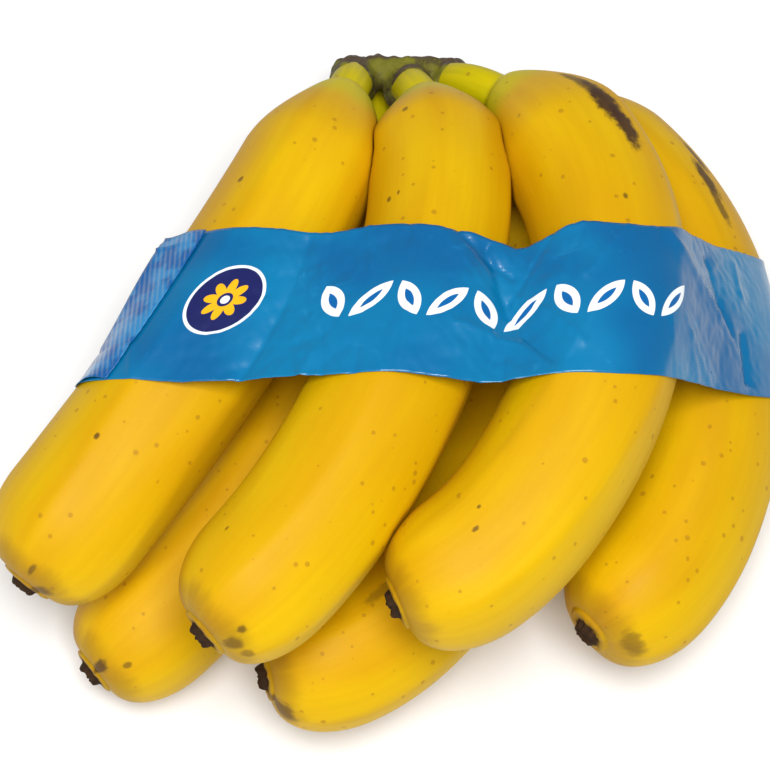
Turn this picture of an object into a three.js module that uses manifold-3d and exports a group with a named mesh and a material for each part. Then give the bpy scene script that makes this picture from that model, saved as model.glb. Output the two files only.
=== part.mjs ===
// A hand of six bananas, still joined at the crown and held together by a band of plastic film.
// Millimetres, +Z up. The hand lies on its lower row of three fruit. The crown is at the +Y side,
// and the fruit run towards -Y, curving to the -X side.
import * as THREE from "three";
import { mergeVertices } from "three/addons/utils/BufferGeometryUtils.js";
import Module from "manifold-3d";

// Driving dimensions.
const NECK_RADIUS = 5.4; // the stalk of each fruit
const NECK_BEND = 20; // along this length a stalk turns from the crown's way to its fruit's own
const CROWN_STUB = 6; // the first part of each stalk is fused into the crown
const STUB_FLARE = 1; // how much wider a stub is at its root
const STALK_ROOM = 8; // the crown keeps clear of its neighbours' stalks this far past the neck
const TIP_TAPER = 19; // the fruit narrows to its blunt end along this length
const TIP_RADIUS = 6.5;
const TIP_BEND = 40; // the last part of a fruit, which hooks a little further round
const CURVE_EASE = 1.37; // over 1, a fruit curves more near its stalk than near its end
const RIDGES = 5; // soft edges along a fruit
const RIDGE_HEIGHT = 0.022; // of the fruit's radius
const GAP = 0.3; // kept between pieces that touch
const CONTACT_GAP = 0.7; // the same between two round fruit, whose facets lie a little proud
const TABLE_FLAT = 0.4; // the lower row is flattened by this much where it lies

const FILM = 0.6; // thickness of the band
const FILM_GAP = 0.6; // between the band and the fruit
const BAND_FRONT = -21; // the band's two edges along Y, at the height BAND_TOP
const BAND_BACK = 17;
const BAND_TOP = 80;
const BAND_LEAN = 0.24; // the band lies this much further towards +Y for each mm below that
const FLAT_MARGIN = 2; // the fruit stay lifted off the table for this far past the band's edges
const FLAT_RAMP = 10; // and come down to it this far past them

// Each fruit: where its centre line leaves the crown, then three directions given as
// [azimuth, elevation] in degrees: out of the crown, after the stalk's bend, and at the end.
// hook is how many degrees the end is bent on past that.
// shoulder is the length along which the stalk widens to the full fruit,
// turn is how far its ridges are rolled about the centre line, and taper is how much wider
// it is towards its end than towards its stalk.
const FRUIT = [
  {
    name: "banana_upper_left",
    root: [-12.1, 77, 29],
    exit: [262, 62],
    start: [257, 23],
    end: [231, -10],
    hook: 0,
    length: 163,
    radius: 18,
    stalk: 15,
    shoulder: 25,
    turn: 20,
    taper: 0.08,
  },
  {
    name: "banana_upper_middle",
    root: [1.9, 75.5, 28.5],
    exit: [290, 62],
    start: [-66, 26],
    end: [230, -2],
    hook: 8,
    length: 177,
    radius: 17.5,
    stalk: 16,
    shoulder: 19,
    turn: 10,
    taper: 0.02,
  },
  {
    name: "banana_upper_right",
    root: [10.9, 78, 25.5],
    exit: [325, 55],
    start: [-21, 21],
    end: [223, -4],
    hook: 20,
    length: 190,
    radius: 18,
    stalk: 22,
    shoulder: 28,
    turn: 25,
    taper: 0,
  },
  {
    name: "banana_lower_right",
    root: [11.9, 82.5, 15.5],
    exit: [340, 5],
    start: [-9, 0],
    end: [235, 6],
    hook: 16,
    length: 190,
    radius: 18.5,
    stalk: 22,
    shoulder: 28,
    turn: 0,
    taper: 0,
  },
  {
    name: "banana_lower_left",
    root: [-7.1, 84, 13.5],
    exit: [272, 15],
    start: [280, 4],
    end: [225, -2],
    hook: 6,
    length: 178,
    radius: 18,
    stalk: 18,
    shoulder: 28,
    turn: 30,
    taper: 0,
  },
  {
    name: "banana_lower_middle",
    root: [4.4, 78.5, 17.5],
    exit: [300, 0],
    start: [-39, -4],
    end: [215, 7],
    hook: 22,
    length: 191,
    radius: 18,
    stalk: 18,
    shoulder: 28,
    turn: 15,
    taper: 0,
  },
];

// The crown: a pad with a flat cut face turned away from the fruit.
const CROWN_CENTRE = [-0.1, 82.5, 22];
const CROWN_WIDTH = 36;
const CROWN_HEIGHT = 22;
const CROWN_DEPTH = 7;
const CROWN_BEVEL = 2;
const CROWN_TILT = 18; // degrees that the cut face leans back

// Mesh resolution.
const SIDES = 20;
const PATH_STEPS = 90;
const RING_STEP = 7.5;
const BAND_SIDES = 100;
const BAND_LEVELS = 7;

const yellow = new THREE.MeshStandardMaterial({ color: 0xe8be18, roughness: 0.55, metalness: 0 });
const green = new THREE.MeshStandardMaterial({ color: 0x6f7a2c, roughness: 0.7, metalness: 0 });
const blue = new THREE.MeshStandardMaterial({ color: 0x0c78b4, roughness: 0.3, metalness: 0 });

const wasm = await Module();
wasm.setup();

// A unit vector from an azimuth and an elevation in degrees.
function direction([azimuth, elevation]) {
  const a = THREE.MathUtils.degToRad(azimuth);
  const e = THREE.MathUtils.degToRad(elevation);
  return new THREE.Vector3(Math.cos(e) * Math.cos(a), Math.cos(e) * Math.sin(a), Math.sin(e));
}

// Turns unit vector a towards unit vector b by the share t of the angle between them.
function turned(a, b, t) {
  const angle = a.angleTo(b);
  const ends = a.clone().multiplyScalar(Math.sin((1 - t) * angle));
  return ends.addScaledVector(b, Math.sin(t * angle)).divideScalar(Math.sin(angle));
}

function smooth(x) {
  const t = THREE.MathUtils.clamp(x, 0, 1);
  return t * t * (3 - 2 * t);
}

// The centre line's direction at distance s from the root.
function heading(fruit, s) {
  const along = THREE.MathUtils.clamp(s / fruit.length, 0, 1);
  const eased = 1 - (1 - along) ** CURVE_EASE;
  const body = turned(direction(fruit.start), direction(fruit.end), eased);
  const hook = THREE.MathUtils.degToRad(-fruit.hook) * smooth(1 + (s - fruit.length) / TIP_BEND);
  const main = body.applyAxisAngle(new THREE.Vector3(0, 0, 1), hook);
  return turned(direction(fruit.exit), main, smooth(s / NECK_BEND)).normalize();
}

// The fruit's radius at distance s, before its ridges.
function radiusAt(fruit, s) {
  const { length, radius, stalk, taper } = fruit;
  const rise = THREE.MathUtils.clamp((s - stalk) / fruit.shoulder, 0, 1);
  const round = Math.sqrt(1 - (1 - rise) ** 2);
  const shoulder = NECK_RADIUS + (radius - NECK_RADIUS) * (0.55 * round + 0.45 * smooth(rise));
  const fall = THREE.MathUtils.clamp((s - (length - TIP_TAPER)) / TIP_TAPER, 0, 1);
  const narrow = TIP_RADIUS / radius;
  const tip = narrow + (1 - narrow) * Math.sqrt(1 - fall ** 2.2);
  const along = THREE.MathUtils.clamp((s - stalk) / (length - stalk), 0, 1);
  const belly = 1 - 0.05 * (2 * along - 1) ** 2 + taper * (along - 0.5) * smooth(rise);
  return shoulder * tip * belly;
}

// The centre line as a list of frames { s, centre, tangent, side, up, radius }.
function pathOf(fruit) {
  const step = fruit.length / PATH_STEPS;
  const centre = new THREE.Vector3(...fruit.root);
  const frames = [];
  let up = new THREE.Vector3(0, 0, 1);
  for (let i = 0; i <= PATH_STEPS; i++) {
    const s = i * step;
    const tangent = heading(fruit, s);
    up = up.clone().addScaledVector(tangent, -up.dot(tangent)).normalize();
    const side = new THREE.Vector3().crossVectors(up, tangent);
    frames.push({ s, centre: centre.clone(), tangent, side, up, radius: radiusAt(fruit, s) });
    centre.addScaledVector(heading(fruit, s + step / 2), step);
  }
  return frames;
}

// The frame at any distance s, blended between its two neighbours on the path. Past either end
// it goes on in a straight line.
function frameAt(fruit, s) {
  const exact = (s / fruit.length) * PATH_STEPS;
  const i = THREE.MathUtils.clamp(Math.floor(exact), 0, PATH_STEPS - 1);
  const share = THREE.MathUtils.clamp(exact - i, 0, 1);
  const a = fruit.path[i];
  const b = fruit.path[i + 1];
  const blend = (key) => a[key].clone().lerp(b[key], share);
  const tangent = blend("tangent").normalize();
  const centre = blend("centre").addScaledVector(tangent, s - (a.s + share * (b.s - a.s)));
  return { s, centre, tangent, side: blend("side").normalize(), up: blend("up").normalize() };
}

// How far a point is outside a fruit's round body, negative inside.
function distanceTo(fruit, point) {
  let best = fruit.path[0];
  let least = Infinity;
  for (const frame of fruit.path) {
    const d = frame.centre.distanceToSquared(point);
    if (d < least) {
      least = d;
      best = frame;
    }
  }
  const across = Math.sqrt(least) - best.radius;
  const beyond = point.clone().sub(best.centre).dot(best.tangent);
  if (best === fruit.path[PATH_STEPS] && beyond > 0) {
    return Math.hypot(beyond, Math.max(across, 0));
  }
  return across;
}

// The lowest that a fruit may reach: the table, or the film where the band passes under it.
function tableUnder(y) {
  const level = y - BAND_LEAN * BAND_TOP;
  const front = smooth((level - BAND_FRONT + FLAT_RAMP) / (FLAT_RAMP - FLAT_MARGIN));
  const back = smooth((BAND_BACK + FLAT_RAMP - level) / (FLAT_RAMP - FLAT_MARGIN));
  const inside = front * back;
  return (FILM + FILM_GAP) * inside;
}

// Moves a surface point towards its own centre line until it meets each neighbour half way and
// lies on the table, so that fruit which press together are flattened where they touch.
function pressed(fruit, centre, point) {
  const arm = point.clone().sub(centre);
  const reach = arm.length();
  let keep = 1;
  for (const other of FRUIT) {
    if (other === fruit || distanceTo(other, point) >= CONTACT_GAP) continue;
    let low = 0.3;
    let high = 1;
    for (let i = 0; i < 16; i++) {
      const middle = (low + high) / 2;
      const probe = centre.clone().addScaledVector(arm, middle);
      if (distanceTo(other, probe) + (1 - middle) * reach >= CONTACT_GAP) low = middle;
      else high = middle;
    }
    keep = Math.min(keep, low);
  }
  const result = centre.clone().addScaledVector(arm, keep);
  const lowest = tableUnder(result.y);
  if (result.z < lowest) result.lerp(centre, (lowest - result.z) / (centre.z - result.z));
  return result;
}

// A closed body from rings of points with the same count, each end closed by a fan to its centre.
function bodyFromRings(rings) {
  const sides = rings[0].length;
  const points = rings.flat();
  const middle = (ring) =>
    ring.reduce((sum, p) => sum.add(p), new THREE.Vector3()).divideScalar(ring.length);
  points.push(middle(rings[0]), middle(rings[rings.length - 1]));
  const first = points.length - 2;
  const last = points.length - 1;
  const index = [];
  for (let j = 0; j < sides; j++) {
    const k = (j + 1) % sides;
    index.push(first, k, j);
    for (let i = 0; i + 1 < rings.length; i++) {
      const a = i * sides;
      const b = a + sides;
      index.push(a + j, a + k, b + j, a + k, b + k, b + j);
    }
    const end = (rings.length - 1) * sides;
    index.push(last, end + j, end + k);
  }
  const geometry = new THREE.BufferGeometry().setFromPoints(points);
  geometry.setIndex(index);
  return geometry;
}

// One ring of a fruit's section, with soft ridges where the body is full.
function ringOf(fruit, s, radius, press = true) {
  const frame = frameAt(fruit, s);
  const roll = THREE.MathUtils.degToRad(fruit.turn);
  const full = smooth((radius - NECK_RADIUS) / (fruit.radius - NECK_RADIUS));
  const ring = [];
  for (let j = 0; j < SIDES; j++) {
    const a = (2 * Math.PI * j) / SIDES;
    const r = radius * (1 + RIDGE_HEIGHT * full * Math.cos(RIDGES * (a - roll)));
    const point = frame.centre.clone();
    point.addScaledVector(frame.side, r * Math.cos(a)).addScaledVector(frame.up, r * Math.sin(a));
    ring.push(press ? pressed(fruit, frame.centre, point) : point);
  }
  return ring;
}

// A whole fruit: stalk, shoulder, body, blunt end and the small nub of the old flower.
function fruitGeometry(fruit) {
  const { length, stalk } = fruit;
  const rings = [];
  const add = (s, radius = radiusAt(fruit, s)) => rings.push(ringOf(fruit, s, radius));
  add(CROWN_STUB + GAP);
  const neckEnd = stalk + 1;
  add((CROWN_STUB + GAP + neckEnd) / 2);
  add(neckEnd);
  const shoulderEnd = stalk + fruit.shoulder;
  for (const share of [0.06, 0.14, 0.26, 0.42, 0.62, 0.82]) add(stalk + share * fruit.shoulder);
  const tipStart = length - TIP_TAPER;
  const steps = Math.round((tipStart - shoulderEnd) / RING_STEP);
  for (let i = 0; i <= steps; i++) add(shoulderEnd + ((tipStart - shoulderEnd) * i) / steps);
  for (const share of [0.3, 0.55, 0.75, 0.88, 0.96, 1]) add(tipStart + share * TIP_TAPER);
  add(length + 0.9, 0.75 * TIP_RADIUS);
  add(length + 1.1, 0.5 * TIP_RADIUS);
  add(length + 2.4, 0.4 * TIP_RADIUS);
  return bodyFromRings(rings);
}

// The fused foot of a stalk, which the crown holds.
function stubGeometry(fruit) {
  const rings = [];
  for (const s of [-2.5, 0, CROWN_STUB / 2, CROWN_STUB]) {
    const flare = STUB_FLARE * (1 - THREE.MathUtils.clamp(s / CROWN_STUB, 0, 1)) ** 2;
    rings.push(ringOf(fruit, s, NECK_RADIUS + flare, false));
  }
  return bodyFromRings(rings);
}

// The pad of the crown, an oval slab with rounded edges and a flat face towards +Y.
function padGeometry() {
  const outline = new THREE.Shape();
  const rim = 2 * CROWN_BEVEL;
  outline.absellipse(0, 0, (CROWN_WIDTH - rim) / 2, (CROWN_HEIGHT - rim) / 2, 0, 2 * Math.PI);
  const slab = new THREE.ExtrudeGeometry(outline, {
    depth: CROWN_DEPTH - rim,
    bevelThickness: CROWN_BEVEL,
    bevelSize: CROWN_BEVEL,
    bevelSegments: 2,
    curveSegments: 9,
  });
  slab.translate(0, 0, -(CROWN_DEPTH - rim) / 2);
  slab.rotateX(-Math.PI / 2 + THREE.MathUtils.degToRad(CROWN_TILT));
  return slab.translate(...CROWN_CENTRE);
}

// A closed geometry as a manifold-3d solid, and back.
function solidOf(geometry) {
  const bare = geometry.clone();
  bare.deleteAttribute("normal");
  bare.deleteAttribute("uv");
  const merged = mergeVertices(bare, 1e-3);
  const vertProperties = merged.getAttribute("position").array;
  const triVerts = new Uint32Array(merged.index.array);
  return new wasm.Manifold(new wasm.Mesh({ numProp: 3, vertProperties, triVerts }));
}

function geometryOf(solid) {
  const mesh = solid.getMesh();
  const geometry = new THREE.BufferGeometry();
  geometry.setAttribute("position", new THREE.BufferAttribute(mesh.vertProperties, 3));
  return geometry.setIndex(new THREE.BufferAttribute(mesh.triVerts, 1));
}

// The room that a fruit's stalk takes up beside the crown.
function stalkRoom(fruit) {
  const rings = [];
  const from = CROWN_STUB;
  const to = fruit.stalk + STALK_ROOM;
  for (const share of [0, 0.25, 0.5, 0.75, 1]) {
    const s = from + share * (to - from);
    rings.push(ringOf(fruit, s, radiusAt(fruit, s) + GAP, false));
  }
  return bodyFromRings(rings);
}

function crownGeometry() {
  let crown = solidOf(padGeometry());
  for (const fruit of FRUIT) crown = crown.add(solidOf(stubGeometry(fruit)));
  for (const fruit of FRUIT) crown = crown.subtract(solidOf(stalkRoom(fruit)));
  return geometryOf(crown);
}

// The leaning band's own lengthwise coordinate: Y at the height BAND_TOP.
function levelOf(point) {
  return point.y + BAND_LEAN * (point.z - BAND_TOP);
}

// Where the edges of a geometry cross the leaning plane of a level, as [x, z] pairs.
function sliceAt(geometry, level) {
  const position = geometry.getAttribute("position");
  const index = geometry.index.array;
  const points = [];
  const a = new THREE.Vector3();
  const b = new THREE.Vector3();
  for (let i = 0; i < index.length; i++) {
    const next = i % 3 === 2 ? i - 2 : i + 1;
    a.fromBufferAttribute(position, index[i]);
    b.fromBufferAttribute(position, index[next]);
    const from = levelOf(a);
    const to = levelOf(b);
    if ((from < level) === (to < level)) continue;
    a.lerp(b, (level - from) / (to - from));
    points.push([a.x, a.z]);
  }
  return points;
}

// The convex outline of [x, z] points, counterclockwise seen with +X right and +Z up.
function hullOf(points) {
  const sorted = points.slice().sort((p, q) => p[0] - q[0] || p[1] - q[1]);
  const cross = (o, p, q) => (p[0] - o[0]) * (q[1] - o[1]) - (p[1] - o[1]) * (q[0] - o[0]);
  const half = (list) => {
    const chain = [];
    for (const p of list) {
      while (chain.length > 1 && cross(chain[chain.length - 2], chain[chain.length - 1], p) <= 0) {
        chain.pop();
      }
      chain.push(p);
    }
    return chain.slice(0, -1);
  };
  return [...half(sorted), ...half(sorted.reverse())];
}

// Evenly spaced points on the convex outline moved out by an offset, from its -X end.
function outlineAround(hull, offset) {
  const corners = [];
  hull.forEach((p, i) => {
    const q = hull[(i + 1) % hull.length];
    const scale = offset / Math.hypot(q[0] - p[0], q[1] - p[1]);
    const dx = (q[1] - p[1]) * scale;
    const dz = (p[0] - q[0]) * scale;
    corners.push(new THREE.Vector2(p[0] + dx, p[1] + dz), new THREE.Vector2(q[0] + dx, q[1] + dz));
  });
  const outline = new THREE.Path(corners);
  outline.closePath();
  return outline.getSpacedPoints(BAND_SIDES).slice(0, BAND_SIDES);
}

// The film band, stretched round all six fruit: at each level it is the convex outline of the
// fruit in the leaning plane, and never lower than the table.
function bandGeometry(fruits) {
  const inner = [];
  const outer = [];
  for (let i = 0; i < BAND_LEVELS; i++) {
    const level = BAND_FRONT + ((BAND_BACK - BAND_FRONT) * i) / (BAND_LEVELS - 1);
    const hull = hullOf(fruits.flatMap((geometry) => sliceAt(geometry, level)));
    const ringAt = (offset, lowest) =>
      outlineAround(hull, offset).map((p) => {
        const z = Math.max(p.y, lowest);
        return new THREE.Vector3(p.x, level - BAND_LEAN * (z - BAND_TOP), z);
      });
    inner.push(ringAt(FILM_GAP, FILM));
    outer.push(ringAt(FILM_GAP + FILM, 0));
  }
  const loops = [...outer, ...inner.reverse()];
  const index = [];
  loops.forEach((loop, i) => {
    const a = i * BAND_SIDES;
    const b = ((i + 1) % loops.length) * BAND_SIDES;
    for (let j = 0; j < BAND_SIDES; j++) {
      const k = (j + 1) % BAND_SIDES;
      index.push(a + j, b + j, a + k, a + k, b + j, b + k);
    }
  });
  return new THREE.BufferGeometry().setFromPoints(loops.flat()).setIndex(index);
}

const hand = new THREE.Group();
hand.name = "banana_hand";

function addPiece(name, geometry, material) {
  geometry.computeVertexNormals();
  const mesh = new THREE.Mesh(geometry, material);
  mesh.name = name;
  hand.add(mesh);
}

for (const fruit of FRUIT) {
  const lowered = fruit.name.includes("lower") ? TABLE_FLAT : 0;
  fruit.root[2] -= lowered;
  fruit.path = pathOf(fruit);
}
const fruitGeometries = FRUIT.map(fruitGeometry);
FRUIT.forEach((fruit, i) => addPiece(fruit.name, fruitGeometries[i], yellow));
addPiece("crown", crownGeometry(), green);
addPiece("film_band", bandGeometry(fruitGeometries), blue);

export default hand;
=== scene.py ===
"""A hand of six bananas, joined at the crown and held by a band of printed plastic film.

Lengths in this file are millimetres and become metres when a mesh is made. The frame is the
CAD model's: the hand lies on z = 0, its crown is at +Y and the fruit run towards -Y.
"""
import math

import bpy
import numpy as np
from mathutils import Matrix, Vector
from mathutils.bvhtree import BVHTree


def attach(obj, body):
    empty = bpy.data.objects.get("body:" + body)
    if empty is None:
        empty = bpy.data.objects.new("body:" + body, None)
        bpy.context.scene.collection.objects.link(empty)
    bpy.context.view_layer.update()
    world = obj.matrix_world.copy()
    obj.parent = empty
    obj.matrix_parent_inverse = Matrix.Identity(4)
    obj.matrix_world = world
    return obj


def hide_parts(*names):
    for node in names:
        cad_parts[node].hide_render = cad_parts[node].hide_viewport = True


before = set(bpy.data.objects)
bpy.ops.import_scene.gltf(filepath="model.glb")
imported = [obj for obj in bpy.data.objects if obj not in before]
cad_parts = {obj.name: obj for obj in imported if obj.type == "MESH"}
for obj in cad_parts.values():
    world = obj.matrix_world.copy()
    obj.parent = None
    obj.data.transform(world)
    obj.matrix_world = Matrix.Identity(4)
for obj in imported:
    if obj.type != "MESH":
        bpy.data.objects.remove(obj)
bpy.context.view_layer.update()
MM = 0.001

# ---------------------------------------------------------------- camera
LENS = 120
SENSOR = 36
CAMERA_TARGET = Vector((-4.1, -7, 35)) * MM
CAMERA_DISTANCE = 617 * MM
CAMERA_ELEVATION = math.radians(70)


def add_camera():
    data = bpy.data.cameras.new("camera")
    data.lens = LENS
    data.sensor_width = SENSOR
    data.clip_start = 0.01
    camera = bpy.data.objects.new("camera", data)
    bpy.context.scene.collection.objects.link(camera)
    back = Vector((0, -math.cos(CAMERA_ELEVATION), math.sin(CAMERA_ELEVATION)))
    camera.location = CAMERA_TARGET + back * CAMERA_DISTANCE
    camera.rotation_euler = back.to_track_quat("Z", "Y").to_euler()
    bpy.context.scene.camera = camera


# ---------------------------------------------------------------- the fruit's shape
# The same dimensions as the CAD model's.
NECK_RADIUS = 5.4
NECK_BEND = 20
TIP_TAPER = 19
TIP_RADIUS = 6.5
TIP_BEND = 40
CURVE_EASE = 1.37
TABLE_FLAT = 0.4
BAND_FRONT = -21  # the band's edges along Y, at the height BAND_TOP
BAND_BACK = 17
BAND_TOP = 80
BAND_LEAN = 0.24  # the band lies this much further towards +Y for each mm below that

RIDGES = 5
CONTACT_GAP = 0.3
FILM_LIFT = 0.35  # the lower row clears the table by this much where the film passes under it
FLAT_MARGIN = 2  # it stays lifted for this far past the band's edges
FLAT_RAMP = 10  # and comes down to the table this far past them
SIDES = 96
RING_STEP = 0.95
PATH_STEPS = 240
SEARCH_STEP = 4  # the nearest frame is looked for among every fourth one
SEARCH_BLOCK = 20000  # points at a time
PRESS_ROUNDS = 14  # halvings in the search for where two fruit meet
LEAST_KEPT = 0.3  # of the radius, however hard a fruit is pressed
BURIED = 3  # each stalk starts this far along, inside the crown
TIP_CLOSE = 6  # over this last length the rings crowd towards the blunt end
TIP_RINGS = 14

# Each fruit: where its centre line leaves the crown, then its directions as (azimuth, elevation)
# in degrees: out of the crown, after the stalk's bend, and at the end, which is hooked on past
# that. turn rolls its ridges, and taper is how much wider it is towards its end.
FRUIT = [
    dict(name="banana_upper_left", root=(-12.1, 77, 29), exit=(262, 62), start=(257, 23),
         end=(231, -10), hook=0, length=163, radius=18, stalk=15, shoulder=25,
         turn=20, taper=0.08),
    dict(name="banana_upper_middle", root=(1.9, 75.5, 28.5), exit=(290, 62), start=(-66, 26),
         end=(230, -2), hook=8, length=177, radius=17.5, stalk=16, shoulder=19,
         turn=10, taper=0.02),
    dict(name="banana_upper_right", root=(10.9, 78, 25.5), exit=(325, 55), start=(-21, 21),
         end=(223, -4), hook=20, length=190, radius=18, stalk=22, shoulder=28,
         turn=25, taper=0),
    dict(name="banana_lower_right", root=(11.9, 82.5, 15.5), exit=(340, 5), start=(-9, 0),
         end=(235, 6), hook=16, length=190, radius=18.5, stalk=22, shoulder=28,
         turn=0, taper=0),
    dict(name="banana_lower_left", root=(-7.1, 84, 13.5), exit=(272, 15), start=(280, 4),
         end=(225, -2), hook=6, length=178, radius=18, stalk=18, shoulder=28,
         turn=30, taper=0),
    dict(name="banana_lower_middle", root=(4.4, 78.5, 17.5), exit=(300, 0), start=(-39, -4),
         end=(215, 7), hook=22, length=191, radius=18, stalk=18, shoulder=28,
         turn=15, taper=0),
]


def unit(v):
    return v / np.linalg.norm(v, axis=-1, keepdims=True)


def smooth(x):
    t = np.clip(x, 0, 1)
    return t * t * (3 - 2 * t)


def direction(azimuth, elevation):
    a, e = math.radians(azimuth), math.radians(elevation)
    return np.array([math.cos(e) * math.cos(a), math.cos(e) * math.sin(a), math.sin(e)])


def turned(a, b, t):
    """Unit vectors a turned towards unit vectors b by the share t of the angle between them."""
    angle = np.arccos(np.clip(np.sum(a * b, axis=-1), -1, 1))
    near = np.sin((1 - t) * angle)[:, None] * a
    return (near + np.sin(t * angle)[:, None] * b) / np.sin(angle)[:, None]


def heading(fruit, s):
    """The centre line's direction at the distances s from its root."""
    along = np.clip(s / fruit["length"], 0, 1)
    eased = 1 - (1 - along) ** CURVE_EASE
    start, end, exit_way = (np.tile(direction(*fruit[k]), (len(s), 1)) for k in ("start", "end", "exit"))
    main = turned(start, end, eased)
    hook = math.radians(-fruit["hook"]) * smooth(1 + (s - fruit["length"]) / TIP_BEND)
    x, y, z = main.T
    main = np.stack([x * np.cos(hook) - y * np.sin(hook), x * np.sin(hook) + y * np.cos(hook), z], axis=1)
    return unit(turned(exit_way, main, smooth(s / NECK_BEND)))


def radius_at(fruit, s):
    """The fruit's radius at the distances s, before its ridges."""
    length, radius, stalk = fruit["length"], fruit["radius"], fruit["stalk"]
    rise = np.clip((s - stalk) / fruit["shoulder"], 0, 1)
    rounded = np.sqrt(1 - (1 - rise) ** 2)
    shoulder = NECK_RADIUS + (radius - NECK_RADIUS) * (0.55 * rounded + 0.45 * smooth(rise))
    fall = np.clip((s - (length - TIP_TAPER)) / TIP_TAPER, 0, 1)
    narrow = TIP_RADIUS / radius
    tip = narrow + (1 - narrow) * np.sqrt(1 - fall**2.2)
    along = np.clip((s - stalk) / (length - stalk), 0, 1)
    belly = 1 - 0.05 * (2 * along - 1) ** 2 + fruit["taper"] * (along - 0.5) * smooth(rise)
    return shoulder * tip * belly


def add_path(fruit):
    """Gives the fruit its centre line: arrays s, centre, tangent, side, up and radius."""
    step = fruit["length"] / PATH_STEPS
    s = np.arange(PATH_STEPS + 1) * step
    tangent = heading(fruit, s)
    root = np.array(fruit["root"], float)
    if "lower" in fruit["name"]:
        root[2] -= TABLE_FLAT
    moves = heading(fruit, s[:-1] + step / 2) * step
    centre = root + np.vstack([np.zeros(3), np.cumsum(moves, axis=0)])
    up = np.zeros_like(tangent)
    last = np.array([0.0, 0.0, 1.0])
    for i, t in enumerate(tangent):
        last = unit(last - last.dot(t) * t)
        up[i] = last
    fruit["path"] = dict(s=s, centre=centre, tangent=tangent, up=up,
                         side=np.cross(up, tangent), radius=radius_at(fruit, s))


def frames_at(fruit, s):
    """The centre line's frames at the distances s, past its ends in a straight line."""
    path = fruit["path"]
    inside = np.clip(s, 0, fruit["length"])
    found = {k: np.stack([np.interp(inside, path["s"], path[k][:, i]) for i in range(3)], axis=1)
             for k in ("centre", "tangent", "side", "up")}
    found["centre"] = found["centre"] + (s - inside)[:, None] * found["tangent"]
    return found


def distance_to(fruit, points):
    """How far each point is outside the fruit's round body, negative inside."""
    path = fruit["path"]
    coarse = slice(None, None, SEARCH_STEP)
    centre = path["centre"][coarse]
    nearest = np.empty(len(points), int)
    for i in range(0, len(points), SEARCH_BLOCK):
        block = points[i:i + SEARCH_BLOCK]
        square = (block**2).sum(1)[:, None] - 2 * block @ centre.T + (centre**2).sum(1)
        nearest[i:i + SEARCH_BLOCK] = square.argmin(axis=1)
    arm = points - centre[nearest]
    tangent = path["tangent"][coarse][nearest]
    along = (arm * tangent).sum(axis=1)
    s = path["s"][coarse][nearest] + along
    across = np.linalg.norm(arm - along[:, None] * tangent, axis=1) - radius_at(fruit, s)
    beyond = s - fruit["length"]
    past_end = np.hypot(np.maximum(beyond, 0), np.maximum(across, 0))
    return np.where(beyond > 0, past_end, across)


def table_under(y):
    """The lowest that the fruit may reach: the table, or the film that passes under them."""
    level = y - BAND_LEAN * BAND_TOP
    front = smooth((level - BAND_FRONT + FLAT_RAMP) / (FLAT_RAMP - FLAT_MARGIN))
    back = smooth((BAND_BACK + FLAT_RAMP - level) / (FLAT_RAMP - FLAT_MARGIN))
    return FILM_LIFT * front * back


def pressed(fruit, centre, points, radius):
    """Moves surface points towards the centre line where neighbours or the table press on them."""
    arm = points - centre
    reach = np.linalg.norm(arm, axis=1)
    keep = np.ones(len(points))
    for other in FRUIT:
        if other is fruit:
            continue
        ahead = distance_to(other, points) - (reach - radius)
        hit = np.flatnonzero(ahead < CONTACT_GAP)
        low, high = np.full(len(hit), LEAST_KEPT), np.ones(len(hit))
        for _ in range(PRESS_ROUNDS):
            middle = (low + high) / 2
            probe = centre[hit] + middle[:, None] * arm[hit]
            free = distance_to(other, probe) - (middle * reach[hit] - radius[hit]) >= CONTACT_GAP
            low = np.where(free, middle, low)
            high = np.where(free, high, middle)
        keep[hit] = np.minimum(keep[hit], low)
    result = centre + keep[:, None] * arm
    lowest = table_under(result[:, 1])
    sunk = result[:, 2] < lowest
    share = (lowest - result[:, 2]) / np.where(sunk, centre[:, 2] - result[:, 2], 1)
    return np.where(sunk[:, None], result + share[:, None] * (centre - result), result)


def waves(angle, s, seed, cells):
    """Smooth random unevenness over a fruit, about -1 to 1."""
    rng = np.random.default_rng(seed)
    total = np.zeros_like(angle)
    for _ in range(cells):
        turns = rng.integers(0, 4)
        total += rng.normal() * np.cos(turns * angle + s / rng.uniform(7, 30) + rng.uniform(0, 6.3))
    return total / math.sqrt(cells)


def section_scale(fruit, angle, s, full):
    """Ridges, flats and small unevenness as a factor on the radius, and where the ridges are."""
    seed = FRUIT.index(fruit)
    rng = np.random.default_rng(40 + seed)
    roll = math.radians(fruit["turn"])
    meander = 0.10 * np.sin(s / 37 + seed) + 0.05 * np.sin(s / 15 + 2 * seed)
    phase = RIDGES * (angle - roll - meander)
    strengths = rng.uniform(0.012, 0.03, RIDGES)
    corners = np.linspace(0, 2 * math.pi, RIDGES + 1)
    height = np.interp(np.mod(angle - roll, 2 * math.pi), corners, np.append(strengths, strengths[0]))
    crest = np.maximum(np.cos(phase), 0) ** 5
    ridges = height * (0.7 * np.cos(phase) + 0.8 * crest - 0.25)
    uneven = 0.006 * waves(angle, s, seed, 9)
    return 1 + full * (ridges + uneven) + 0.02 * (1 - full) * np.cos(4 * angle + seed), crest * full


def tip_rings():
    """The blunt end past the last ring: (distance past the end, radius, how ragged)."""
    r = TIP_RADIUS
    return [(0.5, 0.95 * r, 0.1), (0.8, 0.84 * r, 0.2), (0.9, 0.72 * r, 0.4), (0.8, 0.62 * r, 0.6),
            (0.8, 0.54 * r, 0.8), (1.2, 0.49 * r, 0.8), (1.8, 0.46 * r, 0.8), (2.3, 0.40 * r, 1),
            (2.4, 0.30 * r, 1), (2.1, 0.20 * r, 0.8), (1.9, 0.10 * r, 0.6)]


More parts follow.
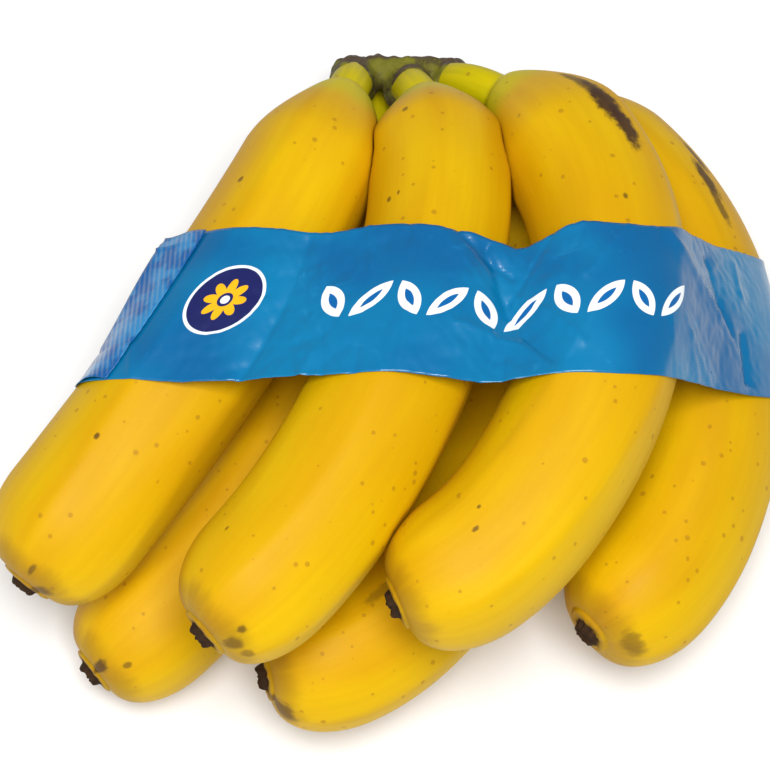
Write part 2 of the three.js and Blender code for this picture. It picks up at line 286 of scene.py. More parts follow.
def stations(fruit):
    """The rings of a fruit from its stalk to its nub: distance along, radius and raggedness."""
    length = fruit["length"]
    body = np.linspace(BURIED, length, int((length - BURIED) / RING_STEP))
    closing = 1 - (1 - np.linspace(0, 1, TIP_RINGS)) ** 2
    body = np.concatenate([body[body < length - TIP_CLOSE], length - TIP_CLOSE + TIP_CLOSE * closing])
    past, tip_radius, tip_ragged = np.array(tip_rings()).T
    s = np.concatenate([body, length + past])
    radius = np.concatenate([radius_at(fruit, body), tip_radius])
    return s, radius, np.concatenate([np.zeros(len(body)), tip_ragged])


def jagged(seed, angle):
    """The torn outline of the dried flower, -1 to 1 round the fruit."""
    rng = np.random.default_rng(seed)
    jag = np.zeros(len(angle))
    for k in range(3, 17):
        jag += rng.normal() * np.cos(k * angle + rng.uniform(0, 6.3)) / k**0.6
    return jag / np.abs(jag).max()


def skin_values(fruit, S, R, crest):
    """What the peel's material reads, for each point of the rings and for the two ends."""
    length, stalk = fruit["length"], fruit["stalk"]
    past_end = smooth((S - length - 0.7) / 0.6)
    inner = smooth((0.66 * TIP_RADIUS - R) / 0.6) * (S > length - 1)
    grids = dict(
        green=1 - smooth((S - stalk - 1) / 15),
        shoulder=smooth((S - stalk + 4) / 12) * (1 - smooth((S - stalk - 16) / 26)),
        end=smooth((S - length + 12) / 12),
        nub=np.maximum(past_end, inner),
        ridge=crest,
    )
    at_ends = dict(green=[1, 0], shoulder=[0, 0], end=[0, 1], nub=[0, 1], ridge=[0, 0])
    return {key: np.append(grid.reshape(-1), at_ends[key]) for key, grid in grids.items()}


def build_fruit(fruit):
    s, r, ragged = stations(fruit)
    angle = np.linspace(0, 2 * math.pi, SIDES, endpoint=False)
    S, A = np.meshgrid(s, angle, indexing="ij")
    R = np.repeat(r[:, None], SIDES, axis=1)
    full = smooth((R - NECK_RADIUS) / (fruit["radius"] - NECK_RADIUS))
    scale, crest = section_scale(fruit, A, S, full)
    jag = jagged(90 + FRUIT.index(fruit), angle)
    R = R * scale * (1 + 0.13 * ragged[:, None] * jag)
    axial = S + 0.5 * ragged[:, None] * np.roll(jag, 11)
    frames = {key: np.repeat(v, SIDES, axis=0) for key, v in frames_at(fruit, s).items()}
    turn = A.reshape(-1, 1)
    centre = frames["centre"] + (axial - S).reshape(-1, 1) * frames["tangent"]
    out = np.cos(turn) * frames["side"] + np.sin(turn) * frames["up"]
    points = pressed(fruit, centre, centre + R.reshape(-1, 1) * out, np.repeat(r, SIDES))
    round_skin = fruit["radius"] * np.hstack([np.cos(turn), np.sin(turn)])
    skin = np.hstack([round_skin, S.reshape(-1, 1)])
    ends = np.vstack([points[:SIDES].mean(0), points[-SIDES:].mean(0)])
    points = np.vstack([points, ends])
    skin = np.vstack([skin, [0, 0, s[0]], [0, 0, s[-1]]])
    values = skin_values(fruit, S, R, crest)
    mesh = grid_mesh(fruit["name"] + "_peel", points, len(s), SIDES, values, skin)
    mesh.materials.append(peel_material(fruit))
    piece = bpy.data.objects.new(fruit["name"] + "_peel", mesh)
    bpy.context.scene.collection.objects.link(piece)
    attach(piece, "root")
    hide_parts(fruit["name"])
    fruit["points"] = points[:-2].reshape(len(s), SIDES, 3)


def grid_mesh(name, points, rings, sides, values, skin):
    """A closed tube of rings with a fan at each end, with its point attributes, in metres."""
    j = np.arange(sides)
    k = (j + 1) % sides
    first, last = rings * sides, rings * sides + 1
    quads = []
    for i in range(rings - 1):
        a, b = i * sides, (i + 1) * sides
        quads.append(np.stack([a + j, a + k, b + k, b + j], axis=1))
    faces = np.vstack(quads).tolist()
    faces += np.stack([np.full(sides, first), k, j], axis=1).tolist()
    end = (rings - 1) * sides
    faces += np.stack([np.full(sides, last), end + j, end + k], axis=1).tolist()
    mesh = bpy.data.meshes.new(name)
    mesh.from_pydata((points * MM).tolist(), [], faces)
    mesh.shade_smooth()
    add_values(mesh, values, skin)
    return mesh


def add_values(mesh, values, skin=None):
    for key, value in values.items():
        layer = mesh.attributes.new(key, "FLOAT", "POINT")
        layer.data.foreach_set("value", value.astype(np.float32))
    if skin is not None:
        layer = mesh.attributes.new("skin", "FLOAT_VECTOR", "POINT")
        layer.data.foreach_set("vector", (skin * MM).astype(np.float32).ravel())


# ---------------------------------------------------------------- materials
class Graph:
    """A material's node tree, with short calls for the nodes that it uses."""

    def __init__(self, name):
        self.material = bpy.data.materials.new(name)
        self.material.use_nodes = True
        self.tree = self.material.node_tree
        self.tree.nodes.clear()
        self.output = self.node("ShaderNodeOutputMaterial")
        self.shader = self.node("ShaderNodeBsdfPrincipled")
        self.tree.links.new(self.shader.outputs[0], self.output.inputs[0])

    def node(self, kind, **inputs):
        made = self.tree.nodes.new(kind)
        for key, value in inputs.items():
            self.put(made.inputs[key], value)
        return made

    def put(self, socket, value):
        if isinstance(value, bpy.types.NodeSocket):
            self.tree.links.new(value, socket)
        else:
            socket.default_value = value

    def set(self, **inputs):
        for key, value in inputs.items():
            self.put(self.shader.inputs[key.replace("_", " ")], value)

    def attribute(self, name, output="Fac"):
        made = self.node("ShaderNodeAttribute")
        made.attribute_name = name
        return made.outputs[output]

    def position(self):
        return self.node("ShaderNodeTexCoord").outputs["Object"]

    def math(self, operation, a, b=0.0, clamp=False):
        made = self.node("ShaderNodeMath")
        made.operation = operation
        made.use_clamp = clamp
        self.put(made.inputs[0], a)
        self.put(made.inputs[1], b)
        return made.outputs[0]

    def mul(self, *factors):
        total = factors[0]
        for factor in factors[1:]:
            total = self.math("MULTIPLY", total, factor)
        return total

    def ramp(self, value, low, high, to_low=0.0, to_high=1.0):
        made = self.node("ShaderNodeMapRange")
        made.interpolation_type = "SMOOTHSTEP"
        for i, v in enumerate((value, low, high, to_low, to_high)):
            self.put(made.inputs[i], v)
        return made.outputs[0]

    def vector(self, operation, a, b, output=0):
        made = self.node("ShaderNodeVectorMath")
        made.operation = operation
        self.put(made.inputs[0], a)
        self.put(made.inputs[1], b)
        return made.outputs[output]

    def noise(self, vector, scale, detail=2.0, roughness=0.5, distortion=0.0):
        made = self.node("ShaderNodeTexNoise", Vector=vector, Scale=scale, Detail=detail,
                         Roughness=roughness, Distortion=distortion)
        return made.outputs["Fac"]

    def spots(self, vector, scale, size, share, seed_shift=0.0):
        """Round spots of about the given share of a cell, in that share of the cells."""
        moved = self.vector("ADD", vector, (seed_shift, seed_shift * 0.7, -seed_shift))
        cells = self.node("ShaderNodeTexVoronoi", Vector=moved, Scale=scale)
        chance = self.node("ShaderNodeSeparateColor", Color=cells.outputs["Color"])
        present = self.math("LESS_THAN", chance.outputs[0], share)
        wide = self.math("MULTIPLY_ADD", chance.outputs[1], size * 0.6)
        wide.node.inputs[2].default_value = size * 0.4
        edge = self.math("SUBTRACT", wide, cells.outputs["Distance"])
        return self.mul(self.ramp(edge, 0.0, size * 0.35), present)

    def mark(self, skin, angle, s, across, along, ragged=0.5):
        """A blotch on a fruit at an angle round it and a distance s along it, in degrees and mm."""
        a = math.radians(angle)
        facing = self.vector("DOT_PRODUCT", skin, (math.cos(a), math.sin(a), 0), 1)
        x = self.vector("DOT_PRODUCT", skin, (-math.sin(a), math.cos(a), 0), 1)
        x = self.math("DIVIDE", x, across * MM)
        y = self.vector("DOT_PRODUCT", skin, (0, 0, 1), 1)
        y = self.math("DIVIDE", self.math("SUBTRACT", y, s * MM), along * MM)
        far = self.math("SQRT", self.math("ADD", self.mul(x, x), self.mul(y, y)))
        rim = self.mul(self.math("SUBTRACT", self.noise(skin, 420, 5, 0.75), 0.5), 3 * ragged)
        inside = self.ramp(self.math("ADD", far, rim), 1.25, 0.55)
        return self.mul(inside, self.math("GREATER_THAN", facing, 0.0))

    def mix(self, share, a, b):
        made = self.node("ShaderNodeMix")
        made.data_type = "RGBA"
        self.put(made.inputs[0], share)
        self.put(made.inputs[6], a)
        self.put(made.inputs[7], b)
        return made.outputs[2]

    def bump(self, height, distance, strength=1.0, normal=None):
        made = self.node("ShaderNodeBump", Height=height, Distance=distance, Strength=strength)
        if normal is not None:
            self.put(made.inputs["Normal"], normal)
        return made.outputs[0]


def srgb(r, g, b):
    """A colour given as 0 to 255 screen values, as linear light."""
    linear = [(c / 255) / 12.92 if c < 11 else ((c / 255 + 0.055) / 1.055) ** 2.4 for c in (r, g, b)]
    return (*linear, 1.0)


# Blotches on the fruit: angle round it in degrees, distance along it, half widths across and
# along in mm, and how dark.
MARKS = {
    "banana_upper_left": [(91, 128.5, 0.6, 0.8, 0.8), (120, 58.6, 0.8, 0.9, 0.7), (40, 163, 4, 1.8, 0.7),
                          (70, 160, 1, 1.5, 0.6)],
    "banana_upper_middle": [(30, 175, 3, 1.6, 0.6), (12, 174, 2, 1.2, 0.5), (41, 172, 1.2, 1, 0.7),
                            (109, 34, 1, 0.8, 0.7), (124, 62, 0.7, 0.9, 0.7)],
    "banana_upper_right": [(48, 44, 2.6, 8, 0.75), (45, 51, 3.4, 8, 0.95), (41, 59, 2.6, 7, 0.95),
                           (75, 169, 0.6, 1.0, 0.7), (86, 165, 0.5, 0.6, 0.7), (64, 80, 0.6, 0.8, 0.7)],
    "banana_lower_right": [(34, 63, 1.6, 5, 0.85), (45, 70, 2.2, 6, 0.9), (49, 77, 1.4, 6, 0.7),
                           (26, 187, 6, 2, 0.5), (60, 120, 0.8, 1, 0.6)],
    "banana_lower_left": [(75, 177, 3, 1.8, 0.8), (60, 172, 1, 1, 0.6)],
    "banana_lower_middle": [(10, 190, 6, 2.4, 0.7), (98, 160, 1.5, 6, 0.4)],
}


def peel_material(fruit):
    g = Graph(fruit["name"] + "_peel")
    where = g.position()
    skin = g.attribute("skin", "Vector")
    along = g.vector("MULTIPLY", skin, (1, 1, 0.07))
    near = g.vector("MULTIPLY", skin, (1, 1, 0.35))
    yellow = g.mix(g.ramp(g.noise(near, 42, 2), 0.35, 0.65), srgb(204, 154, 0), srgb(216, 174, 0))
    streak = g.ramp(g.noise(along, 420, 3, 0.6), 0.3, 0.75)
    yellow = g.mix(g.mul(streak, 0.18), yellow, srgb(186, 136, 0))
    tan = g.mul(g.attribute("shoulder"), g.ramp(g.noise(near, 60, 3), 0.25, 0.6))
    colour = g.mix(g.mul(tan, 0.5), yellow, srgb(196, 146, 18))
    worn = g.mul(g.attribute("ridge"), g.ramp(g.noise(near, 70, 3), 0.45, 0.7))
    colour = g.mix(g.mul(worn, 0.35), colour, srgb(180, 124, 14))
    green = g.ramp(g.math("ADD", g.attribute("green"), g.mul(g.noise(near, 90, 2), 0.5)), 0.35, 1.15)
    lime = g.mix(g.ramp(g.noise(near, 80), 0.3, 0.7), srgb(168, 158, 0), srgb(198, 180, 0))
    colour = g.mix(green, colour, lime)
    blush = g.ramp(g.math("ADD", g.attribute("end"), g.mul(g.noise(near, 120, 4, 0.65), 0.9)), 0.95, 1.5)
    colour = g.mix(g.mul(blush, 0.5), colour, srgb(130, 92, 16))
    dust = g.spots(where, 430, 0.36, 0.17)
    flecks = g.spots(g.vector("MULTIPLY", skin, (1, 1, 0.6)), 120, 0.16, 0.13, 0.3)
    scars = g.spots(g.vector("MULTIPLY", skin, (1, 1, 0.45)), 48, 0.10, 0.09, 0.9)
    colour = g.mix(g.mul(dust, 0.5), colour, srgb(150, 100, 20))
    colour = g.mix(g.mul(flecks, 0.75), colour, srgb(110, 66, 22))
    colour = g.mix(g.mul(scars, 0.8), colour, srgb(90, 52, 24))
    for angle, s, across, along_by, dark in MARKS[fruit["name"]]:
        blot = g.mark(skin, angle, s, across, along_by)
        colour = g.mix(g.mul(blot, dark), colour, srgb(62, 36, 22))
    nub = g.attribute("nub")
    bark = g.mix(g.noise(where, 900, 4), srgb(20, 14, 10), srgb(72, 50, 30))
    colour = g.mix(nub, colour, bark)
    rough = g.math("MULTIPLY_ADD", g.noise(near, 160, 3), 0.16)
    rough.node.inputs[2].default_value = 0.46
    rough = g.math("ADD", rough, g.mul(nub, 0.35), clamp=True)
    fine = g.bump(g.noise(along, 700, 3, 0.6), 0.00012, 0.5)
    pores = g.bump(g.noise(where, 2200, 2), 0.00003, 0.5, fine)
    pits = g.mul(g.math("ADD", scars, flecks), -1.0)
    torn = g.mul(nub, g.noise(where, 700, 4))
    dents = g.bump(g.math("ADD", pits, torn), 0.0003, 0.6, pores)
    g.set(Base_Color=colour, Roughness=rough, Normal=dents, Specular_IOR_Level=0.14,
          Subsurface_Weight=0.08, Subsurface_Radius=(1.0, 0.55, 0.12), Subsurface_Scale=0.002)
    return g.material


def crown_material():
    g = Graph("crown_tissue")
    where = g.position()
    cut = g.attribute("cut")
    flesh = g.mix(g.noise(where, 260, 4, 0.6), srgb(84, 84, 22), srgb(132, 128, 30))
    stain = g.ramp(g.noise(where, 140, 5, 0.65), 0.42, 0.62)
    flesh = g.mix(stain, flesh, srgb(66, 52, 36))
    face = g.mix(g.noise(where, 420, 5, 0.7), srgb(42, 32, 26), srgb(108, 88, 66))
    pale = g.spots(where, 330, 0.3, 0.3)
    face = g.mix(g.mul(pale, 0.4), face, srgb(150, 132, 104))
    colour = g.mix(cut, flesh, face)
    bumps = g.bump(g.noise(where, 520, 5, 0.65), 0.0008, 0.8)
    g.set(Base_Color=colour, Roughness=g.ramp(g.noise(where, 300), 0.2, 0.8, 0.55, 0.85), Normal=bumps,
          Specular_IOR_Level=0.3)
    return g.material


# ---------------------------------------------------------------- the crown
CROWN_VOXEL = 0.55
CROWN_RELAX = 14  # rounds of smoothing
CUT_FACE = (0, 0.95, 0.31)  # the way that the cut face looks


def build_crown():
    """The CAD crown made into one soft grown form, with its cut face roughened."""
    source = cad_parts["crown"]
    mesh = source.data.copy()
    mesh.materials.clear()
    piece = bpy.data.objects.new("crown_pad", mesh)
    bpy.context.scene.collection.objects.link(piece)
    remesh = piece.modifiers.new("remesh", "REMESH")
    remesh.mode = "VOXEL"
    remesh.voxel_size = CROWN_VOXEL * MM
    relax = piece.modifiers.new("relax", "SMOOTH")
    relax.factor = 0.5
    relax.iterations = CROWN_RELAX
    bpy.context.view_layer.update()
    done = bpy.data.meshes.new_from_object(piece.evaluated_get(bpy.context.evaluated_depsgraph_get()))
    piece.modifiers.clear()
    piece.data = done
    done.name = "crown_pad"
    count = len(done.vertices)
    co = np.empty(count * 3)
    done.vertices.foreach_get("co", co)
    co = co.reshape(-1, 3) / MM
    normal = np.empty(count * 3)
    done.vertices.foreach_get("normal", normal)
    normal = normal.reshape(-1, 3)
    rng = np.random.default_rng(7)
    rough = np.zeros(count)
    for _ in range(40):
        wave = rng.normal(size=3)
        wave *= rng.uniform(0.4, 2.2) / np.linalg.norm(wave)
        rough += np.cos(co @ wave + rng.uniform(0, 6.3))
    rough /= math.sqrt(20)
    away = normal @ unit(np.array(CUT_FACE))
    cut = smooth((away - 0.55) / 0.3)
    co += normal * (0.22 * rough * (0.6 + cut))[:, None]
    done.vertices.foreach_set("co", (co * MM).astype(np.float32).ravel())
    add_values(done, dict(cut=cut))
    done.materials.append(crown_material())
    done.shade_smooth()
    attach(piece, "root")
    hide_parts("crown")


# ---------------------------------------------------------------- the film band
FILM_COLUMNS = 640  # round the fruit
FILM_ROWS = 60  # from the front edge to the back edge
FILM_CLEAR = 0.25  # kept between the film and the peel
FILM_LOWEST = 0.06  # the film's height where it lies on the table
FILM_THICK = 0.08
SEAM_COLUMN = 25  # the column of the band where the seam starts
SEAM_WIDTH = 13


def level_of(points):
    """The leaning band's own lengthwise coordinate: Y at the height BAND_TOP."""
    return points[..., 1] + BAND_LEAN * (points[..., 2] - BAND_TOP)


def slice_at(level):
    """Where the lengthwise lines of all the fruit cross a leaning plane, as [x, z] points."""
    found = []
    for fruit in FRUIT:
        a, b = fruit["points"][:-1], fruit["points"][1:]
        la, lb = level_of(a), level_of(b)
        cross = (la < level) != (lb < level)
        share = ((level - la[cross]) / (lb[cross] - la[cross]))[:, None]
        found.append((a[cross] + share * (b[cross] - a[cross]))[:, [0, 2]])
    return np.vstack(found)


def hull_of(points):
    """The convex outline of [x, z] points, from its -X end and counterclockwise."""
    rows = sorted(map(tuple, points))

    def half(run):
        chain = []
        for p in run:
            while len(chain) > 1:
                (ax, az), (bx, bz) = chain[-2], chain[-1]
                if (bx - ax) * (p[1] - az) - (bz - az) * (p[0] - ax) > 0:
                    break
                chain.pop()
            chain.append(p)
        return chain[:-1]

    return np.array(half(rows) + half(rows[::-1]))


def outline_around(hull, offset, count):
    """Evenly spaced points on the convex outline moved out by an offset, and its length."""
    after = np.roll(hull, -1, axis=0)
    edge = unit(after - hull)
    push = offset * np.stack([edge[:, 1], -edge[:, 0]], axis=1)
    corners = np.stack([hull + push, after + push], axis=1).reshape(-1, 2)
    corners = np.vstack([corners, corners[:1]])
    run = np.append(0, np.cumsum(np.linalg.norm(np.diff(corners, axis=0), axis=1)))
    at = np.linspace(0, run[-1], count, endpoint=False)
    return np.stack([np.interp(at, run, corners[:, i]) for i in range(2)], axis=1), run[-1]


def skin_tree():
    """All the finished fruit as one surface to measure from."""
    points, faces = [], []
    for fruit in FRUIT:
        rings = len(fruit["points"])
        index = np.arange(rings * SIDES).reshape(rings, SIDES) + len(points)
        after = np.roll(index, -1, axis=1)
        quads = np.stack([index[:-1], after[:-1], after[1:], index[1:]], axis=-1)
        points += fruit["points"].reshape(-1, 3).tolist()
        faces += quads.reshape(-1, 4).tolist()
    return BVHTree.FromPolygons(points, faces)


def skin_distance(tree, points):
    """How far each point is outside the finished fruit, negative inside."""
    result = np.empty(points.shape[:-1])
    for i in np.ndindex(result.shape):
        point = Vector(points[i])
        near, normal, _, distance = tree.find_nearest(point)
        result[i] = math.copysign(distance, (point - near).dot(normal))
    return result


# Creases on the upper side as lines in plan, [x, y], each with its depth (raised if negative)
# and its width.
CREASES = [
    ([(18.7, 13), (21.4, 5.4), (22.7, -1.3), (26.5, -8.4), (30.6, -14.4), (36, -21.5)], 1.9, 2.0),
    ([(61.8, 16), (70, 8), (79, -0.4)], -0.9, 1.8),
    ([(73, 17), (76, 8), (79, -0.1)], 1.4, 0.9),
    ([(81.7, 2), (82.4, -10)], 1.5, 0.9),
    ([(38.2, 13), (40.9, 3.5)], -0.6, 0.9),
    ([(47, -12.5), (47.6, -21)], 0.35, 0.9),
    ([(53, -13.5), (53.8, -22)], 0.35, 0.9),
    ([(60, -8), (61.3, -22)], 0.45, 1.1),
    ([(-48.6, 17), (-58.2, 11.8), (-71.7, -3.6)], -0.5, 1.4),
    ([(-22, 15), (-26, 2), (-33, -12), (-38, -21)], 1.0, 2.4),
    ([(-4, 14), (-2, 6)], 0.5, 0.8),
    ([(12, 17), (19, 10), (25, 6)], 1.0, 0.9),
    ([(24, 2), (33, -5), (40, -14)], -0.7, 0.9),
    ([(12, -8), (26, -12), (34, -20)], -0.6, 1.0),
    ([(-60, -4), (-50, -20)], 0.3, 1.2),
]


def edge_creases():
    """Short creases that run in from the two edges of the upper side, in the same form."""
    rng = np.random.default_rng(21)
    lines = []
    for i in range(34):
        x = rng.uniform(-66, 88)
        edge, inward = ((BAND_BACK + 4, -1), (BAND_FRONT - 1, 1))[i % 2]
        reach = rng.uniform(7, 22)
        end = (x + rng.normal(0, 0.4) * reach, edge + inward * reach)
        depth = rng.choice([-1, 1]) * rng.uniform(0.25, 0.6)
        lines.append(([(x, edge), end], depth, rng.uniform(0.6, 1.1)))
    return lines


def crease(plan, line, width):
    """1 on a line drawn in plan, falling sharply beside it."""
    nearest = np.full(plan.shape[:-1], np.inf)
    for a, b in zip(line, line[1:]):
        a, b = np.array(a), np.array(b)
        t = np.clip(((plan - a) @ (b - a)) / (b - a).dot(b - a), 0, 1)
        nearest = np.minimum(nearest, np.linalg.norm(plan - a - t[..., None] * (b - a), axis=-1))
    return np.exp(-nearest / width)


def crinkle(u, v, seed, low, high, count):
    """Random fine folds, mostly across the band, with sharp bottoms."""
    rng = np.random.default_rng(seed)
    total = np.zeros(np.broadcast(u, v).shape)
    for _ in range(count):
        pitch = rng.uniform(low, high)
        turn = rng.normal(0, 0.55)
        phase = (u * math.cos(turn) + v * math.sin(turn)) * 2 * math.pi / pitch + rng.uniform(0, 6.3)
        total += rng.normal() * np.cos(phase)
    return 1 - np.abs(total) / math.sqrt(count)


def band_edges(x):
    """How far the back edge hangs forward, with dips between the fruit, and the front edge."""
    dip = 1.3 * np.exp(-((x + 24) / 9) ** 2) + 3.0 * np.exp(-((x - 24) / 9) ** 2)
    back = dip + 0.5 * np.sin(x / 6.5) + 0.4 * np.sin(x / 11 + 1)
    return back + 0.6, 0.35 * np.sin(x / 9 + 2) + 0.25 * np.sin(x / 5)


def build_film():
    levels = np.arange(BAND_FRONT - 4, BAND_BACK + 4.01, 1.0)
    table, lengths = zip(*(outline_around(hull_of(slice_at(y)), FILM_CLEAR, FILM_COLUMNS) for y in levels))
    table = np.roll(np.array(table)[:, ::-1], 1, axis=1)
    rows = np.linspace(0, 1, FILM_ROWS)[:, None]
    back, front = band_edges(table[len(levels) // 2, :, 0])
    level = BAND_FRONT + front + (BAND_BACK - back - BAND_FRONT - front) * rows
    lower = np.clip(np.searchsorted(levels, level) - 1, 0, len(levels) - 2)
    t = (level - levels[lower])[..., None]
    column = np.arange(FILM_COLUMNS)
    outline = table[lower, column] * (1 - t) + table[lower + 1, column] * t
    x, z = outline[..., 0], outline[..., 1]
    P = np.stack([x, level - BAND_LEAN * (z - BAND_TOP), z], axis=-1)
    around = np.roll(P, -1, axis=1) - np.roll(P, 1, axis=1)
    normal = unit(np.cross(np.gradient(P, axis=0), around))
    if (normal * (P - P.mean(axis=(0, 1)))).sum() < 0:
        normal = -normal
    length = float(np.mean(lengths))
    u, v = column / FILM_COLUMNS * length, rows * (BAND_BACK - BAND_FRONT)
    tree = skin_tree()
    gap = np.maximum(skin_distance(tree, P) - FILM_CLEAR, 0)
    press = np.minimum(0.10 * gap + 0.42 * gap * np.exp(-((x - 27) / 13) ** 2), 5)
    upper = smooth((P[..., 2] - 22) / 12)
    for line, depth, width in CREASES + edge_creases():
        press = press + upper * depth * crease(P[..., :2], line, width)
    free = smooth(gap / 2.5)
    edge = np.exp(-np.minimum(rows, 1 - rows) / 0.07)
    press = press + (0.12 + 0.30 * free) * crinkle(u, v, 3, 9, 26, 7)
    press = press + (0.05 + 0.10 * free) * crinkle(u, v, 5, 3.5, 8, 6)
    press = press - edge * (0.25 + 0.35 * np.sin(u / 7 + 2 * np.sin(u / 19)))
    for _ in range(3):
        short = FILM_CLEAR - 0.05 - skin_distance(tree, P - press[..., None] * normal)
        press = press - np.maximum(short, 0)
    P = P - press[..., None] * normal
    P[..., 2] = np.maximum(P[..., 2], FILM_LOWEST)
    make_film_mesh(P, np.append(u, length), v[:, 0])
    make_seam(P, normal, length / FILM_COLUMNS)


def make_seam(P, normal, pitch):
    """The welded seam of the film, a fin that stands off the band at its -X side."""
    steps = int(SEAM_WIDTH / pitch)
    base = P[:, SEAM_COLUMN]
    away = unit(P[:, SEAM_COLUMN - 3] - base)
    stand = smooth(np.linspace(0.1, 1.1, FILM_ROWS))[:, None]
    rings = []
    for k in range(steps + 1):
        reach = k * pitch
        on_band = P[:, SEAM_COLUMN - k] + (0.35 + 0.3 * math.sin(reach / 3)) * normal[:, SEAM_COLUMN - k]
        free = base + reach * away + (0.4 + 0.02 * reach**1.6) * normal[:, SEAM_COLUMN]
        rings.append(on_band * (1 - stand) + free * stand)
    grid = np.stack(rings)
    grid[..., 1] += 0.5 * np.sin(np.linspace(0, 5, steps + 1))[:, None]
    index = np.arange(grid[..., 0].size).reshape(grid.shape[:2])
    faces = np.stack([index[:-1, :-1], index[1:, :-1], index[1:, 1:], index[:-1, 1:]], axis=-1)
    mesh = bpy.data.meshes.new("film_seam")
    mesh.from_pydata((grid.reshape(-1, 3) * MM).tolist(), [], faces.reshape(-1, 4).tolist())
    mesh.shade_smooth()
    mesh.materials.append(seam_material())
    piece = bpy.data.objects.new("film_seam", mesh)
    bpy.context.scene.collection.objects.link(piece)
    thick = piece.modifiers.new("thickness", "SOLIDIFY")
    thick.thickness = 2 * FILM_THICK * MM
    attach(piece, "root")


def make_film_mesh(P, u, v):
    rows, columns = P.shape[:2]
    index = np.arange(rows * columns).reshape(rows, columns)
    after = np.roll(index, -1, axis=1)
    faces = np.stack([index[:-1], index[1:], after[1:], after[:-1]], axis=-1).reshape(-1, 4)
    mesh = bpy.data.meshes.new("film_band_sheet")
    mesh.from_pydata((P.reshape(-1, 3) * MM).tolist(), [], faces.tolist())
    layer = mesh.uv_layers.new(name="print")
    U = np.broadcast_to(np.arange(columns), (rows - 1, columns))
    V = np.broadcast_to(np.arange(rows - 1)[:, None], (rows - 1, columns))
    corners = [(U, V), (U, V + 1), (U + 1, V + 1), (U + 1, V)]
    uv = np.stack([np.stack([u[a], v[b]], axis=-1) for a, b in corners], axis=2) * MM
    layer.data.foreach_set("uv", uv.astype(np.float32).ravel())
    mesh.shade_smooth()
    mesh.materials.append(film_material())
    piece = bpy.data.objects.new("film_band_sheet", mesh)
    bpy.context.scene.collection.objects.link(piece)
    thick = piece.modifiers.new("thickness", "SOLIDIFY")
    thick.thickness = FILM_THICK * MM
    thick.offset = 1
    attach(piece, "root")
    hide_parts("film_band")


# The print: a row of leaves, and a round badge with a flower of eight petals. In mm along the
# film from its -X end over the top, and across it from its front edge.
LEAF_ROW = (52, 140)
LEAF_PITCH = 8.8
LEAF_HEIGHT = 19
LEAF_LENGTH = 5.4
LEAF_WIDTH = 2.3
BADGE = (31, 20)
BADGE_RADIUS = 8.6


def film_material():
    g = Graph("printed_film")
    where = g.position()
    uv = g.node("ShaderNodeUVMap")
    uv.uv_map = "print"
    flat = g.node("ShaderNodeSeparateXYZ", Vector=g.vector("MULTIPLY", uv.outputs[0], (1000, 1000, 0)))
    u, v = flat.outputs[0], flat.outputs[1]
    tone = g.ramp(g.noise(where, 26, 2), 0.38, 0.62)
    colour = g.mix(tone, srgb(0, 92, 146), srgb(0, 114, 162))
    # Pale cyan patches painted over the blue: a painted highlight, soft sheen laid into the film's colour.
    painted_sheen = g.ramp(g.noise(where, 130, 5, 0.7, 0.6), 0.60, 0.78)
    colour = g.mix(g.mul(painted_sheen, 0.30), colour, srgb(40, 150, 205))
    white = srgb(236, 242, 246)
    colour = g.mix(leaf_row(g, u, v, LEAF_LENGTH, LEAF_WIDTH), colour, white)
    colour = g.mix(leaf_row(g, u, v, LEAF_LENGTH - 2.6, LEAF_WIDTH - 1.5), colour, srgb(0, 94, 160))
    colour = badge(g, u, v, colour, white)
    wrinkle = g.bump(g.noise(where, 150, 2, 0.5, 1.2), 0.0004, 0.3)
    rough = g.ramp(g.noise(where, 90, 3), 0.3, 0.7, 0.27, 0.40)
    g.set(Base_Color=colour, Roughness=rough, Normal=wrinkle, Specular_IOR_Level=0.25,
          Coat_Weight=0.3, Coat_Roughness=0.10)
    return g.material


def seam_material():
    g = Graph("film_seam")
    where = g.position()
    pale = g.ramp(g.noise(where, 110, 3, 0.6), 0.45, 0.6)
    colour = g.mix(pale, srgb(0, 88, 156), srgb(44, 130, 186))
    press = g.node("ShaderNodeTexWave", Vector=where, Scale=260)
    ribs = g.bump(press.outputs["Fac"], 0.0003, 0.5)
    g.set(Base_Color=colour, Roughness=0.3, Normal=ribs, Coat_Weight=0.3, Coat_Roughness=0.1)
    return g.material


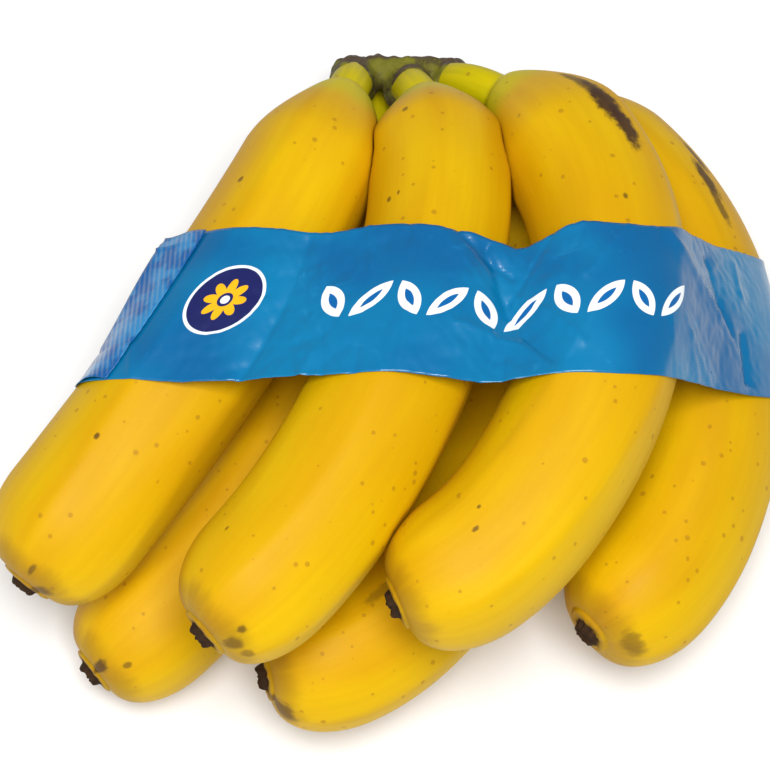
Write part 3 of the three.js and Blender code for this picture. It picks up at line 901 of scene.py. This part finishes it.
def leaf_row(g, u, v, long, wide):
    """A row of pointed leaves leaning to alternate sides: 1 inside them."""
    start, stop = LEAF_ROW
    cell = g.math("DIVIDE", g.math("SUBTRACT", u, start), LEAF_PITCH)
    number = g.math("FLOOR", cell)
    x = g.mul(g.math("SUBTRACT", g.math("SUBTRACT", cell, number), 0.5), LEAF_PITCH)
    y = g.math("SUBTRACT", v, LEAF_HEIGHT)
    odd = g.math("MULTIPLY", g.math("FRACT", g.mul(number, 0.5)), 4.0)
    side = g.math("SUBTRACT", odd, 1.0)
    lean = math.radians(52)
    across = g.mul(g.math("MULTIPLY", y, math.cos(math.pi / 2 - lean)), side)
    along = g.math("ADD", g.mul(x, math.cos(lean)), across)
    beside = g.math("SUBTRACT", g.mul(y, math.cos(lean)), g.mul(x, math.sin(lean), side))
    arc = (long * long + wide * wide) / (2 * wide)
    off = g.math("ADD", g.math("ABSOLUTE", beside), arc - wide)
    reach = g.math("SQRT", g.math("ADD", g.mul(along, along), g.mul(off, off)))
    inside = g.ramp(g.math("SUBTRACT", arc, reach), -0.08, 0.08)
    return g.mul(inside, g.math("GREATER_THAN", u, start), g.math("LESS_THAN", u, stop))


def badge(g, u, v, colour, white):
    x = g.math("SUBTRACT", u, BADGE[0])
    y = g.math("SUBTRACT", v, BADGE[1])
    r = g.math("SQRT", g.math("ADD", g.mul(x, x), g.mul(y, y)))
    petal = g.math("ABSOLUTE", g.math("COSINE", g.mul(g.math("ARCTAN2", y, x), 4.0)))
    flower = g.math("ADD", g.mul(petal, 2.4), 2.6)
    rings = [(BADGE_RADIUS, white), (BADGE_RADIUS - 0.7, srgb(24, 30, 88)), (flower, srgb(238, 176, 20)),
             (1.7, srgb(24, 30, 88)), (1.0, white)]
    for edge, paint in rings:
        colour = g.mix(g.ramp(g.math("SUBTRACT", edge, r), -0.08, 0.08), colour, paint)
    return colour


# ---------------------------------------------------------------- floor and light
def add_floor():
    bpy.ops.mesh.primitive_plane_add(size=6)
    floor = bpy.context.object
    floor.name = "floor"
    g = Graph("floor")
    g.set(Base_Color=(0.86, 0.86, 0.86, 1), Roughness=0.8)
    floor.data.materials.append(g.material)


def add_area(name, position, size, power, aim=(0, 0, 0.03)):
    data = bpy.data.lights.new(name, "AREA")
    data.shape = "RECTANGLE"
    data.size, data.size_y = size
    data.energy = power
    light = bpy.data.objects.new(name, data)
    bpy.context.scene.collection.objects.link(light)
    light.location = position
    light.rotation_euler = (Vector(position) - Vector(aim)).to_track_quat("Z", "Y").to_euler()


def add_light():
    world = bpy.data.worlds.new("studio")
    world.use_nodes = True
    world.node_tree.nodes["Background"].inputs["Color"].default_value = (1, 1, 1, 1)
    world.node_tree.nodes["Background"].inputs["Strength"].default_value = 0.27
    bpy.context.scene.world = world
    add_area("key", (0.02, -0.22, 1.05), (0.5, 0.45), 13)
    add_area("fill", (-0.5, -0.8, 0.6), (0.8, 0.8), 1.5)
    bpy.context.scene.view_settings.view_transform = "Standard"


add_camera()
for fruit in FRUIT:
    add_path(fruit)
for fruit in FRUIT:
    build_fruit(fruit)
build_crown()
build_film()
add_floor()
add_light()
